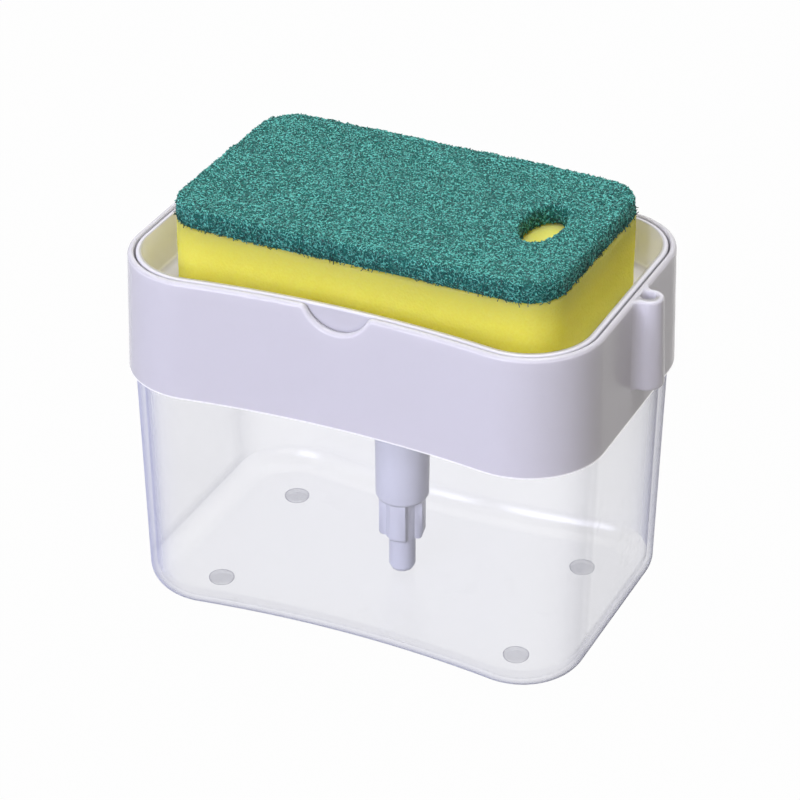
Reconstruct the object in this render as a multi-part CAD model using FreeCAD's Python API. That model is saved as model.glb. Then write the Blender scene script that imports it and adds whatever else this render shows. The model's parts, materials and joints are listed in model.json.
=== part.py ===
"""Soap pump caddy: a clear soap reservoir, a white frame that carries a piston pump, and a
white tray that works the pump when the sponge lying in it is pressed down.

Lengths are in millimetres. +Z is up and z = 0 is the surface that the caddy stands on. The pump
axis is x = y = 0, +X is the side with the tool socket and -Y is the side with the finger notch.
"""
import FreeCAD
import Part
import math
import os
from FreeCAD import Vector

# Plan outline that the container, the frame and the tray share, as it is at the frame's lower
# edge: straight ends, round corners and long sides that bow inwards
frame_length = 140.9
frame_width = 93.6
corner_radius = 22.45
waist_depth = 3.64

# Feet, stuck under the container
foot_height = 1.0
foot_radius = 3.7
foot_round = 0.8
foot_x = 46.5
foot_y = 24.5

# Container
body_height = 71.5
floor_thickness = 1.5
base_inset = 3.45
shoulder_inset = 1.75
base_wall = 1.8
base_edge_radius = 6.8
neck_height = 5.2
neck_wall = 1.5
neck_chamfer = 0.4

# Frame, whose wall leans inwards by its draft from the skirt's lower edge to the rim
frame_draft = 0.85
skirt_wall = 1.95
skirt_clearance = 0.25
skirt_gap = 0.3
rim_wall = 1.75
rim_height = 28.7
deck_thickness = 2.0
rim_outer_round = 1.2
rim_inner_round = 0.4
notch_radius = 10.2
notch_depth = 6.6
notch_shoulder = 2.4

# Well in the deck, where the pump hangs
well_side_gap = 2.5
well_depth = 9.0
well_wall = 1.8
well_floor = 2.0
well_rib_count = 8
well_rib_thickness = 1.4
well_rib_reach = 12.0

# Tool socket on the frame's right end
socket_offset = 1.6
socket_shift = 1.3
socket_top_radius = 4.0
socket_foot_radius = 5.05
socket_fairing = 2.2
socket_bore = 4.3
socket_bore_inset = 0.3
socket_depth = 22.0
socket_foot_rise = 8.6
socket_round = 0.6
socket_foot_round = 1.2

# Pump housing, which hangs from its flange in the well
housing_top_diameter = 16.2
housing_foot_diameter = 15.4
housing_wall = 1.3
housing_flange_reach = 3.4
housing_flange = 1.8
housing_clearance = 0.25
housing_step_height = 26.0
housing_step_round = 1.6
chamber_floor = 1.1
vent_diameter = 1.5
gasket_thickness = 1.0

# Inlet neck under the housing, with the ribs round it
neck_end_height = 13.5
inlet_neck_radius = 4.9
inlet_rib_radius = 6.4
inlet_rib_width = 4.6
inlet_rib_count = 4
inlet_rib_turn = 12.0
inlet_hole_radius = 1.5
inlet_seat_radius = 3.1
inlet_seat_slope = 1.15
tube_socket_depth = 10.0

# Suction tube
tube_diameter = 7.7
tube_wall = 1.0
tube_fit = 0.05
tube_floor_gap = 0.6
tube_chamfer = 0.7

# Locking nut under the well
nut_height = 5.0
nut_wall = 3.6
nut_clearance = 0.1
nut_grip_count = 12
nut_grip_radius = 1.5

# Guide bush at the housing's mouth
bush_flange_reach = 1.4
bush_flange = 1.4
bush_sleeve = 7.2
running_clearance = 0.05

# Stem and its outlet valve
stem_diameter = 7.0
stem_bore = 3.0
stem_grip = 5.0
valve_chamber_radius = 2.6
valve_chamber_depth = 6.8
outlet_ball_radius = 2.3

# Piston and its seal
piston_height = 8.0
piston_side_gap = 0.3
piston_stop_gap = 0.2
piston_spigot = 3.0
piston_spigot_radius = 2.6
seal_height = 3.0
seal_rise = 2.0
seal_depth = 1.2
seal_lip = 0.6

# Inlet ball and its cage
inlet_ball_radius = 2.5
ball_seat_gap = 0.05
inlet_ball_travel = 1.5
ball_headroom = 0.3
cage_side_gap = 0.1
cage_wall = 1.5
cage_top = 1.0
cage_hole_radius = 1.6
cage_window_count = 3
cage_window_width = 2.6

# Return spring
spring_wire = 0.9
spring_side_gap = 1.2
spring_turns = 7

# Tray
stroke = 10.0
press_gap = 0.6
tray_gap = 0.5
tray_wall = 1.6
tray_drop = 0.1
tray_floor = 1.6
tray_skirt = 2.1
tray_skirt_wall = 1.3
tray_inner_round = 2.0
tray_rim_round = 0.6
tray_rib_thickness = 1.2
tray_rib_pitch = 22.0

# Hub under the tray, which sits on the stem
hub_radius = 6.0
hub_clearance = 0.1
hub_stop = 1.4
hub_hole_radius = 2.0
hub_rib_count = 4
hub_rib_thickness = 1.2
hub_rib_reach = 6.0
ring_section = 0.84
ring_groove = 1.3
ring_rise = 1.8

# Outlet cap in the tray's floor
cap_radius = 6.0
cap_thickness = 1.0
cap_clearance = 0.1
cap_hole_count = 4
cap_hole_radius = 0.5
cap_hole_circle = 1.2
cap_spigot = 1.2

# Sponge: a foam block with a scouring pad bonded on top, with room for fingers round it
sponge_end_room = 12.75
sponge_side_room = 13.1
pad_overhang = 0.3
foam_height = 23.0
pad_height = 6.4
sponge_corner = 11.0
sponge_x = 0.2
sponge_y = 2.05
sponge_turn = -0.63
foam_edge_round = 0.8
pad_edge_round = 0.9
pad_hole_length = 22.2
pad_hole_width = 11.2
pad_hole_end_room = 17.2
pad_hole_y = 2.4

# Every cutter reaches this far past what it cuts
overrun = 1.0

# Heights worked out from the sizes above
floor_under = foot_height
floor_top = floor_under + floor_thickness
shoulder_z = floor_under + body_height
neck_top = shoulder_z + neck_height
skirt_bottom = shoulder_z + skirt_gap
deck_under = neck_top
deck_top = deck_under + deck_thickness
rim_top = deck_top + rim_height

barrel_radius = housing_top_diameter / 2
flange_radius = barrel_radius + housing_flange_reach
well_radius = flange_radius + well_side_gap
well_top = deck_top - well_depth
well_under = well_top - well_floor
flange_under = well_top + gasket_thickness
flange_top = flange_under + housing_flange
bush_top = flange_top + bush_flange
bush_foot = flange_top - bush_sleeve

bore_radius = housing_foot_diameter / 2 - housing_wall
housing_step = floor_under + housing_step_height
chamber_z = housing_step + chamber_floor
inlet_neck_end = floor_under + neck_end_height
tube_top = inlet_neck_end + tube_socket_depth
tube_tip = floor_top + tube_floor_gap

tray_skirt_bottom = deck_top + stroke + press_gap
tray_under = tray_skirt_bottom + tray_skirt
tray_top = tray_under + tray_floor
tray_rim = rim_top - tray_drop
hub_bottom = bush_top + stroke + press_gap
stem_top = tray_under - hub_stop
cap_seat = tray_top - cap_thickness

piston_top = bush_foot - piston_stop_gap
piston_foot = piston_top - piston_height
stem_foot = piston_top - stem_grip

tray_inset = frame_draft + rim_wall + tray_gap
sponge_length = frame_length - 2 * sponge_end_room
foam_width = frame_width - 2 * sponge_side_room
pad_width = foam_width + 2 * pad_overhang
pad_hole_x = sponge_length / 2 - pad_hole_end_room

stem_radius = stem_diameter / 2
stem_bore_radius = stem_bore / 2
valve_seat = stem_top - valve_chamber_depth


def inlet_seat_angle():
    """Half angle of the inlet valve's conical seat."""
    return math.atan2(inlet_seat_radius - inlet_hole_radius, chamber_z - seat_foot())


def seat_foot():
    """Height where the inlet hole opens into its conical seat."""
    return chamber_z - (inlet_seat_radius - inlet_hole_radius) * inlet_seat_slope


def inlet_ball_z():
    """Height of the inlet ball's centre, just clear of its seat."""
    angle = inlet_seat_angle()
    apex = seat_foot() - inlet_hole_radius / math.tan(angle)
    return apex + inlet_ball_radius / math.sin(angle) + ball_seat_gap


def outlet_ball_z():
    """Height of the outlet ball's centre over its 45 degree seat."""
    apex = valve_seat - stem_bore_radius
    return apex + outlet_ball_radius * math.sqrt(2) + ball_seat_gap


def cage_height():
    """Top of the ball cage, which the spring stands on."""
    return inlet_ball_z() + inlet_ball_radius + inlet_ball_travel + ball_headroom + cage_top


# Shapes used by several pieces


def plan_wire(inset, z):
    """The shared plan outline, moved inwards by inset, at height z."""
    half_length = frame_length / 2 - inset
    half_width = frame_width / 2 - inset
    radius = corner_radius - inset
    cx = half_length - radius
    cy = half_width - radius
    bow_radius = (cx * cx + waist_depth * waist_depth) / (2 * waist_depth) - radius
    bow_y = half_width - waist_depth + bow_radius
    reach = math.hypot(cx, bow_y - cy)
    join = Vector(cx - radius * cx / reach, cy + radius * (bow_y - cy) / reach, z)
    turn = math.atan2(join.y - cy, join.x - cx) / 2
    bend = Vector(cx + radius * math.cos(turn), cy + radius * math.sin(turn), z)
    side = Vector(half_length, cy, z)
    middle = Vector(0, half_width - waist_depth, z)

    def flip(point, sx, sy):
        return Vector(point.x * sx, point.y * sy, z)

    edges = [
        Part.LineSegment(flip(side, 1, -1), side).toShape(),
        Part.Arc(side, bend, join).toShape(),
        Part.Arc(join, middle, flip(join, -1, 1)).toShape(),
        Part.Arc(flip(join, -1, 1), flip(bend, -1, 1), flip(side, -1, 1)).toShape(),
        Part.LineSegment(flip(side, -1, 1), flip(side, -1, -1)).toShape(),
        Part.Arc(flip(side, -1, -1), flip(bend, -1, -1), flip(join, -1, -1)).toShape(),
        Part.Arc(flip(join, -1, -1), flip(middle, 1, -1), flip(join, 1, -1)).toShape(),
        Part.Arc(flip(join, 1, -1), flip(bend, 1, -1), flip(side, 1, -1)).toShape(),
    ]
    return Part.Wire(edges)


def plan_prism(inset, low, high):
    """A straight-sided block of the plan outline between two heights."""
    return Part.Face(plan_wire(inset, low)).extrude(Vector(0, 0, high - low))


def plan_taper(inset_low, low, inset_high, high):
    """A block of the plan outline whose sides lean from one inset to another."""
    return Part.makeLoft([plan_wire(inset_low, low), plan_wire(inset_high, high)], True, True)


def edges_at(shape, z):
    """The edges of shape that lie wholly at height z."""
    tolerance = overrun / 1000
    return [
        e
        for e in shape.Edges
        if abs(e.BoundBox.ZMin - z) < tolerance and abs(e.BoundBox.ZMax - z) < tolerance
    ]


def lathe(profile):
    """Turn a closed profile of (radius, height) corners about the pump axis."""
    points = [Vector(r, 0, z) for r, z in profile]
    face = Part.Face(Part.makePolygon(points + points[:1]))
    return face.revolve(Vector(0, 0, 0), Vector(0, 0, 1), 360)


def disc(radius, low, high, x=0, y=0):
    """A round bar along Z."""
    return Part.makeCylinder(radius, high - low, Vector(x, y, low))


def tube(outer, inner, low, high):
    """A round tube on the pump axis."""
    return lathe([(inner, low), (outer, low), (outer, high), (inner, high)])


def bar(length, width, low, high, x=0, y=0):
    """A rectangular block centred on (x, y)."""
    corner = Vector(x - length / 2, y - width / 2, low)
    return Part.makeBox(length, width, high - low, corner)


def around(shape, count, start=0.0):
    """Copies of shape evenly spaced about the pump axis."""
    copies = []
    for index in range(count):
        copy = shape.copy()
        copy.rotate(Vector(0, 0, 0), Vector(0, 0, 1), start + 360.0 * index / count)
        copies.append(copy)
    return copies


def rounded_block(length, width, corner, low, high):
    """A rectangular block with round vertical edges, centred on the axis."""
    block = bar(length, width, low, high)
    upright = [e for e in block.Edges if e.BoundBox.ZLength > (high - low) / 2]
    return block.makeFillet(corner, upright)


# Container and feet


def make_container():
    """Clear open-topped box with a locating neck inside the frame's skirt."""
    body = plan_taper(base_inset, floor_under, shoulder_inset, shoulder_z)
    body = body.makeFillet(base_edge_radius, edges_at(body, floor_under))
    neck_inset = skirt_wall + skirt_clearance
    neck = plan_prism(neck_inset, shoulder_z - overrun, neck_top)
    neck = neck.makeChamfer(neck_chamfer, edges_at(neck, neck_top))
    slope = (base_inset + base_wall - neck_inset - neck_wall) / (neck_top - floor_top)
    mouth_inset = neck_inset + neck_wall - slope * overrun
    hollow = plan_taper(base_inset + base_wall, floor_top, mouth_inset, neck_top + overrun)
    inner_round = base_edge_radius - floor_thickness
    hollow = hollow.makeFillet(inner_round, edges_at(hollow, floor_top))
    return body.fuse(neck).cut(hollow).removeSplitter()


def make_feet():
    """Four soft clear pads with round edges, each with a flat where it stands."""
    foot = disc(foot_radius, 0, foot_height)
    foot = foot.makeFillet(foot_round, edges_at(foot, 0))
    feet = []
    for sx in (-1, 1):
        for sy in (-1, 1):
            copy = foot.copy()
            copy.translate(Vector(sx * foot_x, sy * foot_y, 0))
            feet.append(copy)
    return Part.Compound(feet)


# Frame


def wall_end(z):
    """How far out the frame's leaning end wall is at height z."""
    return frame_length / 2 - frame_draft * (z - skirt_bottom) / (rim_top - skirt_bottom)


def socket_centre():
    """Distance of the socket's axis from the pump's, along X."""
    return frame_length / 2 + socket_offset


def socket_profile(radius, z):
    """Plan of the socket's post, with a fairing each side that runs out on the end wall."""
    wall_x = wall_end(z)
    centre_x = socket_centre()
    fair_x = wall_x + socket_fairing
    fair_y = math.sqrt((radius + socket_fairing) ** 2 - (fair_x - centre_x) ** 2)
    reach = radius + socket_fairing
    meet_x = centre_x + radius * (fair_x - centre_x) / reach
    meet_y = radius * fair_y / reach
    half = math.atan2(fair_y - meet_y, fair_x - meet_x) / 2
    bend_x = fair_x - socket_fairing * math.cos(half)
    bend_y = fair_y - socket_fairing * math.sin(half)
    root_x = wall_x - rim_wall / 2

    def at(x, y):
        return Vector(x, socket_shift + y, z)

    tip = at(centre_x + radius, 0)
    edges = [
        Part.LineSegment(at(root_x, -fair_y), at(wall_x, -fair_y)).toShape(),
        Part.Arc(at(wall_x, -fair_y), at(bend_x, -bend_y), at(meet_x, -meet_y)).toShape(),
        Part.Arc(at(meet_x, -meet_y), tip, at(meet_x, meet_y)).toShape(),
        Part.Arc(at(meet_x, meet_y), at(bend_x, bend_y), at(wall_x, fair_y)).toShape(),
        Part.LineSegment(at(wall_x, fair_y), at(root_x, fair_y)).toShape(),
        Part.LineSegment(at(root_x, fair_y), at(root_x, -fair_y)).toShape(),
    ]
    return Part.Wire(edges)


def socket_post():
    """Tapered post of the tool socket, before its bore, with its foot and top rounded off."""
    low = skirt_bottom + socket_foot_rise
    wires = []
    for degrees in (0, 30, 60, 90):
        angle = math.radians(degrees)
        inset = socket_foot_round * (1 - math.sin(angle))
        rise = socket_foot_round * (1 - math.cos(angle))
        wires.append(socket_profile(socket_foot_radius - inset, low + rise))
    for degrees in (90, 60, 30, 0):
        angle = math.radians(degrees)
        inset = socket_round * (1 - math.sin(angle))
        drop = socket_round * (1 - math.cos(angle))
        wires.append(socket_profile(socket_top_radius - inset, rim_top - drop))
    return Part.makeLoft(wires, True, True)


def well_ribs():
    """Ribs under the deck that stiffen the pump's well."""
    depth = deck_under - well_under
    outer = well_radius + well_wall
    profile = [
        Vector(outer - well_wall / 2, 0, deck_under + deck_thickness / 2),
        Vector(outer + well_rib_reach, 0, deck_under + deck_thickness / 2),
        Vector(outer + well_rib_reach, 0, deck_under - depth / 4),
        Vector(outer + well_rib_reach / 3, 0, well_under),
        Vector(outer - well_wall / 2, 0, well_under),
    ]
    face = Part.Face(Part.makePolygon(profile + profile[:1]))
    rib = face.extrude(Vector(0, well_rib_thickness, 0))
    rib.translate(Vector(0, -well_rib_thickness / 2, 0))
    return around(rib, well_rib_count, 180.0 / well_rib_count)


def notch_reach():
    """Half the finger notch's width at the rim, with its rounded shoulders."""
    spread = notch_radius + notch_shoulder
    return math.sqrt(spread**2 - (spread - notch_depth) ** 2)


def notch_cutter():
    """Cutter of the finger notch: a round dip whose shoulders run smoothly into the rim."""
    half = notch_reach()
    share = notch_radius / (notch_radius + notch_shoulder)
    meet_x = half * share
    meet_z = rim_top + notch_radius - notch_depth - math.sqrt(notch_radius**2 - meet_x**2)
    turn = math.asin(meet_x / notch_radius) / 2
    bend_x = half - notch_shoulder * math.sin(turn)
    bend_z = rim_top - notch_shoulder * (1 - math.cos(turn))
    y = -frame_width / 2 - overrun
    top = rim_top + overrun

    def at(x, z):
        return Vector(x, y, z)

    edges = [
        Part.LineSegment(at(-half, top), at(-half, rim_top)).toShape(),
        Part.Arc(at(-half, rim_top), at(-bend_x, bend_z), at(-meet_x, meet_z)).toShape(),
        Part.Arc(at(-meet_x, meet_z), at(0, rim_top - notch_depth), at(meet_x, meet_z)).toShape(),
        Part.Arc(at(meet_x, meet_z), at(bend_x, bend_z), at(half, rim_top)).toShape(),
        Part.LineSegment(at(half, rim_top), at(half, top)).toShape(),
        Part.LineSegment(at(half, top), at(-half, top)).toShape(),
    ]
    return Part.Face(Part.Wire(edges)).extrude(Vector(0, frame_width / 2, 0))


def on_rim_outside(edge):
    """Whether an edge of the notched block lies on the rim's outer side."""
    box = edge.BoundBox
    inside_notch = max(-box.XMin, box.XMax) < notch_reach() + overrun / 10
    behind_wall = box.YMax > -frame_width / 4
    return box.ZMin > rim_top - notch_depth - overrun / 10 and not (inside_notch and behind_wall)


def make_frame():
    """White collar: skirt over the container's neck, deck with the pump's well, rim, socket."""
    shell = plan_taper(0, skirt_bottom, frame_draft, rim_top).cut(notch_cutter())
    shell = shell.makeFillet(rim_outer_round, [e for e in shell.Edges if on_rim_outside(e)])
    cavity = plan_prism(frame_draft + rim_wall, deck_top, rim_top)
    flare = plan_taper(
        frame_draft + rim_wall,
        rim_top - rim_inner_round,
        frame_draft + rim_wall - rim_inner_round,
        rim_top,
    )
    skirt = plan_prism(skirt_wall, skirt_bottom - overrun, deck_under)
    shell = shell.fuse(socket_post()).cut([cavity, flare, skirt])
    well = disc(well_radius + well_wall, well_under, deck_under + deck_thickness / 2)
    shell = shell.fuse([well] + well_ribs())
    mouth = rim_top - socket_depth
    bore_x = socket_centre() - socket_bore_inset
    cuts = [
        disc(well_radius, well_top, deck_top + overrun),
        disc(barrel_radius + housing_clearance, well_under - overrun, deck_top),
        disc(socket_bore / 2, mouth, rim_top + overrun, bore_x, socket_shift),
    ]
    return shell.cut(cuts).removeSplitter()


# Pump: what is fixed to the frame


def make_pump_housing():
    """Pump barrel with its flange, inlet valve seat, suction neck and ribs."""
    end_radius = housing_foot_diameter / 2
    socket_radius = tube_diameter / 2 + tube_fit
    round_end = housing_step_round
    body = lathe(
        [
            (bore_radius, flange_top),
            (flange_radius, flange_top),
            (flange_radius, flange_under),
            (barrel_radius, flange_under),
            (barrel_radius, well_under - nut_height),
            (end_radius, housing_step + round_end),
            (end_radius - round_end / 3, housing_step + round_end / 3),
            (end_radius - round_end, housing_step),
            (inlet_neck_radius, housing_step),
            (inlet_neck_radius, inlet_neck_end),
            (socket_radius, inlet_neck_end),
            (socket_radius, tube_top),
            (inlet_hole_radius, tube_top),
            (inlet_hole_radius, seat_foot()),
            (inlet_seat_radius, chamber_z),
            (bore_radius, chamber_z),
        ]
    )
    reach = inlet_rib_radius - inlet_neck_radius / 2
    rib = bar(reach, inlet_rib_width, inlet_neck_end, chamber_z - chamber_floor / 2)
    rib.translate(Vector(inlet_neck_radius / 2 + reach / 2, 0, 0))
    foot_edges = [
        e
        for e in edges_at(rib, inlet_neck_end)
        if e.BoundBox.XMin > inlet_rib_radius - overrun / 10
    ]
    rib = rib.makeFillet(inlet_rib_radius - inlet_neck_radius, foot_edges)
    body = body.fuse(around(rib, inlet_rib_count, inlet_rib_turn))
    clear = [
        disc(socket_radius, inlet_neck_end - overrun, tube_top),
        disc(inlet_hole_radius, inlet_neck_end - overrun, chamber_z),
    ]
    vent_z = piston_foot + seal_rise + seal_height / 2
    vent = Part.makeCylinder(
        vent_diameter / 2, housing_top_diameter, Vector(0, 0, vent_z), Vector(0, -1, 0)
    )
    return body.cut(clear + [vent]).removeSplitter()


def make_housing_gasket():
    """Flat ring between the housing's flange and the well's floor."""
    return tube(flange_radius, barrel_radius + housing_clearance, well_top, flange_under)


def make_locking_nut():
    """Grip nut that pulls the housing's flange down on the gasket."""
    inner = barrel_radius + nut_clearance
    outer = inner + nut_wall
    nut = tube(outer, inner, well_under - nut_height, well_under)
    low = well_under - nut_height - overrun
    grip = disc(nut_grip_radius, low, well_under + overrun, outer + nut_grip_radius / 3)
    return nut.cut(around(grip, nut_grip_count))


def make_guide_bush():
    """Bush that guides the stem and stops the piston at the top of its stroke."""
    sleeve = bore_radius - running_clearance
    inner = stem_radius + running_clearance
    rim = barrel_radius + bush_flange_reach
    return lathe(
        [
            (inner, bush_foot),
            (sleeve, bush_foot),
            (sleeve, flange_top),
            (rim, flange_top),
            (rim, bush_top - bush_flange / 3),
            (rim - bush_flange / 3, bush_top),
            (inner, bush_top),
        ]
    )


def make_ball_cage():
    """Cage that keeps the inlet ball near its seat and carries the spring."""
    outer = bore_radius - cage_side_gap
    inner = outer - cage_wall
    top = cage_height()
    cage = lathe(
        [
            (inner, chamber_z),
            (outer, chamber_z),
            (outer, top),
            (cage_hole_radius, top),
            (cage_hole_radius, top - cage_top),
            (inner, top - cage_top),
        ]
    )
    window = bar(outer, cage_window_width, chamber_z + cage_wall, top - cage_top, outer)
    return cage.cut(around(window, cage_window_count))


def make_suction_tube():
    """Straight tube from the housing's neck to just above the container's floor."""
    outer = tube_diameter / 2
    inner = outer - tube_wall
    return lathe(
        [
            (inner, tube_tip),
            (outer - tube_chamfer, tube_tip),
            (outer, tube_tip + 2 * tube_chamfer),
            (outer, tube_top),
            (inner, tube_top),
        ]
    )


# Pump: what moves


def make_stem():
    """Hollow stem that carries soap up to the tray, with the outlet valve at its head."""
    return lathe(
        [
            (stem_bore_radius, stem_foot),
            (stem_radius, stem_foot),
            (stem_radius, stem_top),
            (valve_chamber_radius, stem_top),
            (valve_chamber_radius, valve_seat + valve_chamber_radius - stem_bore_radius),
            (stem_bore_radius, valve_seat),
        ]
    )


def make_piston():
    """Piston on the stem's foot, with the seal's groove and a spigot inside the spring."""
    outer = bore_radius - piston_side_gap
    groove = outer - seal_depth
    seal_low = piston_foot + seal_rise
    return lathe(
        [
            (stem_bore_radius, piston_foot - piston_spigot),
            (piston_spigot_radius, piston_foot - piston_spigot),
            (piston_spigot_radius, piston_foot),
            (outer, piston_foot),
            (outer, seal_low),
            (groove, seal_low),
            (groove, seal_low + seal_height),
            (outer, seal_low + seal_height),
            (outer, piston_top),
            (stem_radius, piston_top),
            (stem_radius, stem_foot),
            (stem_bore_radius, stem_foot),
        ]
    )


def make_piston_seal():
    """Double-lipped seal in the piston's groove."""
    lip = bore_radius - running_clearance
    inner = bore_radius - piston_side_gap - seal_depth
    waist = lip - seal_lip
    low = piston_foot + seal_rise
    high = low + seal_height
    return lathe(
        [
            (inner, low),
            (lip, low),
            (waist, low + seal_height / 4),
            (waist, high - seal_height / 4),
            (lip, high),
            (inner, high),
        ]
    )


def helix_point(radius, angle, low, pitch):
    """Point of a rising helix and its unit direction there."""
    rise = pitch / (2 * math.pi)
    point = Vector(radius * math.cos(angle), radius * math.sin(angle), low + rise * angle)
    heading = Vector(-radius * math.sin(angle), radius * math.cos(angle), rise)
    return point, heading.normalize()


def arc_from(start, heading, end):
    """Arc that leaves start along heading and ends at end."""
    chord = end - start
    across = chord - heading * chord.dot(heading)
    angle = math.atan2(across.Length, chord.dot(heading))
    side = across.normalize()
    radius = chord.Length / (2 * math.sin(angle))
    middle = start + heading * (radius * math.sin(angle)) + side * (radius * (1 - math.cos(angle)))
    return Part.Arc(start, middle, end).toShape()


def quarter_turn(radius, first, low, pitch):
    """Two tangent arcs that follow a quarter turn of the helix."""
    start, leaving = helix_point(radius, first, low, pitch)
    end, arriving = helix_point(radius, first + math.pi / 2, low, pitch)
    chord = end - start
    spread = 2 * (1 - leaving.dot(arriving))
    pull = chord.dot(leaving + arriving)
    reach = (-pull + math.sqrt(pull * pull + spread * chord.dot(chord))) / spread
    joint = (start + leaving * reach + end - arriving * reach) * 0.5
    return [arc_from(start, leaving, joint), arc_from(end, arriving * -1, joint)]


def make_return_spring():
    """Wire spring between the ball cage and the piston, as an open helix."""
    radius = bore_radius - spring_side_gap - spring_wire / 2
    low = cage_height() + spring_wire / 2
    high = piston_foot - spring_wire / 2
    pitch = (high - low) / spring_turns
    edges = []
    for quarter in range(4 * spring_turns):
        edges += quarter_turn(radius, quarter * math.pi / 2, low, pitch)
    path = Part.Wire(Part.__sortEdges__(edges))
    start, heading = helix_point(radius, 0.0, low, pitch)
    section = Part.Wire(Part.makeCircle(spring_wire / 2, start, heading))
    wire = path.makePipeShell([section], True, False)
    print(f"spring turns {spring_turns}, least gap between turns {pitch - spring_wire:.2f} mm")
    return wire


def make_ball(radius, z):
    """Valve ball on the pump axis."""
    return Part.makeSphere(radius, Vector(0, 0, z))


# Tray


def tray_ribs():
    """Ribs under the tray's floor, and the gussets of its hub."""
    low = tray_skirt_bottom
    high = tray_under + tray_floor / 2
    inside = plan_prism(tray_inset + tray_skirt_wall / 2, low, high)
    ribs = [bar(frame_length, tray_rib_thickness, low, high)]
    count = int(frame_length / 2 / tray_rib_pitch)
    for index in range(-count, count + 1):
        ribs.append(bar(tray_rib_thickness, frame_width, low, high, index * tray_rib_pitch))
    shapes = [rib.common(inside) for rib in ribs]
    outer = hub_radius + hub_rib_reach
    profile = [
        Vector(hub_radius / 2 + stem_radius / 2, 0, high),
        Vector(outer, 0, high),
        Vector(outer, 0, low),
        Vector(hub_radius, 0, hub_bottom),
        Vector(hub_radius / 2 + stem_radius / 2, 0, hub_bottom),
    ]
    face = Part.Face(Part.makePolygon(profile + profile[:1]))
    gusset = face.extrude(Vector(0, hub_rib_thickness, 0))
    gusset.translate(Vector(0, -hub_rib_thickness / 2, 0))
    return shapes + around(gusset, hub_rib_count)


def make_tray():
    """White press plate that holds the sponge and pushes the stem."""
    shell = plan_prism(tray_inset, tray_skirt_bottom, tray_rim)
    shell = shell.makeFillet(tray_rim_round, edges_at(shell, tray_rim))
    pocket = plan_prism(tray_inset + tray_wall, tray_top, tray_rim + overrun)
    pocket = pocket.makeFillet(tray_inner_round, edges_at(pocket, tray_top))
    under = plan_prism(tray_inset + tray_skirt_wall, tray_skirt_bottom - overrun, tray_under)
    shell = shell.cut([pocket, under])
    hub = disc(hub_radius, hub_bottom, tray_under + tray_floor / 2)
    shell = shell.fuse([hub] + tray_ribs())
    bore = stem_radius + hub_clearance
    groove_low = hub_bottom + ring_rise
    groove = tube(bore + ring_section, bore / 2, groove_low, groove_low + ring_groove)
    cuts = [
        disc(bore, hub_bottom - overrun, stem_top),
        groove,
        disc(hub_hole_radius, hub_bottom, tray_top),
        disc(cap_radius + cap_clearance, cap_seat, tray_top + overrun),
    ]
    return shell.cut(cuts).removeSplitter()


def make_hub_ring():
    """Rubber ring that seals the tray's hub on the stem."""
    bore = stem_radius + hub_clearance
    centre_r = bore + ring_section / 2
    centre_z = hub_bottom + ring_rise + ring_groove / 2
    return Part.makeTorus(centre_r, ring_section / 2, Vector(0, 0, centre_z))


def make_outlet_cap():
    """Round cap with small holes, flush in the tray's floor, where the soap comes out."""
    cap = disc(cap_radius, cap_seat, tray_top)
    spigot = hub_hole_radius - cap_clearance
    cap = cap.fuse(disc(spigot, cap_seat - cap_spigot, cap_seat + cap_thickness / 2))
    bottom = cap_seat - cap_spigot - overrun
    holes = around(
        disc(cap_hole_radius, bottom, tray_top + overrun, cap_hole_circle), cap_hole_count
    )
    return cap.cut(holes).removeSplitter()


# Sponge


def place_sponge(shape):
    """Turn and move a piece of the sponge to where it lies in the tray."""
    shape.rotate(Vector(0, 0, 0), Vector(0, 0, 1), sponge_turn)
    shape.translate(Vector(sponge_x, sponge_y, 0))
    return shape


def make_foam_block():
    """Foam of the sponge, lying on the tray's floor."""
    top = tray_top + foam_height
    block = rounded_block(sponge_length, foam_width, sponge_corner, tray_top, top)
    block = block.makeFillet(foam_edge_round, edges_at(block, tray_top))
    return place_sponge(block)


def make_scouring_pad():
    """Fibre pad bonded on the foam, with its oval finger hole."""
    low = tray_top + foam_height
    pad = rounded_block(sponge_length, pad_width, sponge_corner, low, low + pad_height)
    pad = pad.makeFillet(pad_edge_round, edges_at(pad, low + pad_height))
    pad = place_sponge(pad)
    oval = Part.Ellipse(Vector(0, 0, 0), pad_hole_length / 2, pad_hole_width / 2).toShape()
    hole = Part.Face(Part.Wire(oval)).extrude(Vector(0, 0, pad_height + 2 * overrun))
    hole.rotate(Vector(0, 0, 0), Vector(0, 0, 1), 90)
    hole.translate(Vector(pad_hole_x, pad_hole_y, low - overrun))
    return pad.cut(hole)


def build():
    """Every piece of the caddy by name."""
    return {
        "container": make_container(),
        "feet": make_feet(),
        "frame": make_frame(),
        "pump_housing": make_pump_housing(),
        "housing_gasket": make_housing_gasket(),
        "locking_nut": make_locking_nut(),
        "guide_bush": make_guide_bush(),
        "ball_cage": make_ball_cage(),
        "suction_tube": make_suction_tube(),
        "inlet_ball": make_ball(inlet_ball_radius, inlet_ball_z()),
        "return_spring": make_return_spring(),
        "stem": make_stem(),
        "piston": make_piston(),
        "piston_seal": make_piston_seal(),
        "outlet_ball": make_ball(outlet_ball_radius, outlet_ball_z()),
        "tray": make_tray(),
        "hub_ring": make_hub_ring(),
        "outlet_cap": make_outlet_cap(),
        "foam_block": make_foam_block(),
        "scouring_pad": make_scouring_pad(),
    }


os.makedirs("parts", exist_ok=True)
for name, shape in build().items():
    shape.exportStep(f"parts/{name}.step")
    box = shape.BoundBox
    print(
        f"{name}: solids {len(shape.Solids)} valid {shape.isValid()} volume {shape.Volume:.0f}"
        f" z {box.ZMin:.2f} to {box.ZMax:.2f}"
    )
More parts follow.
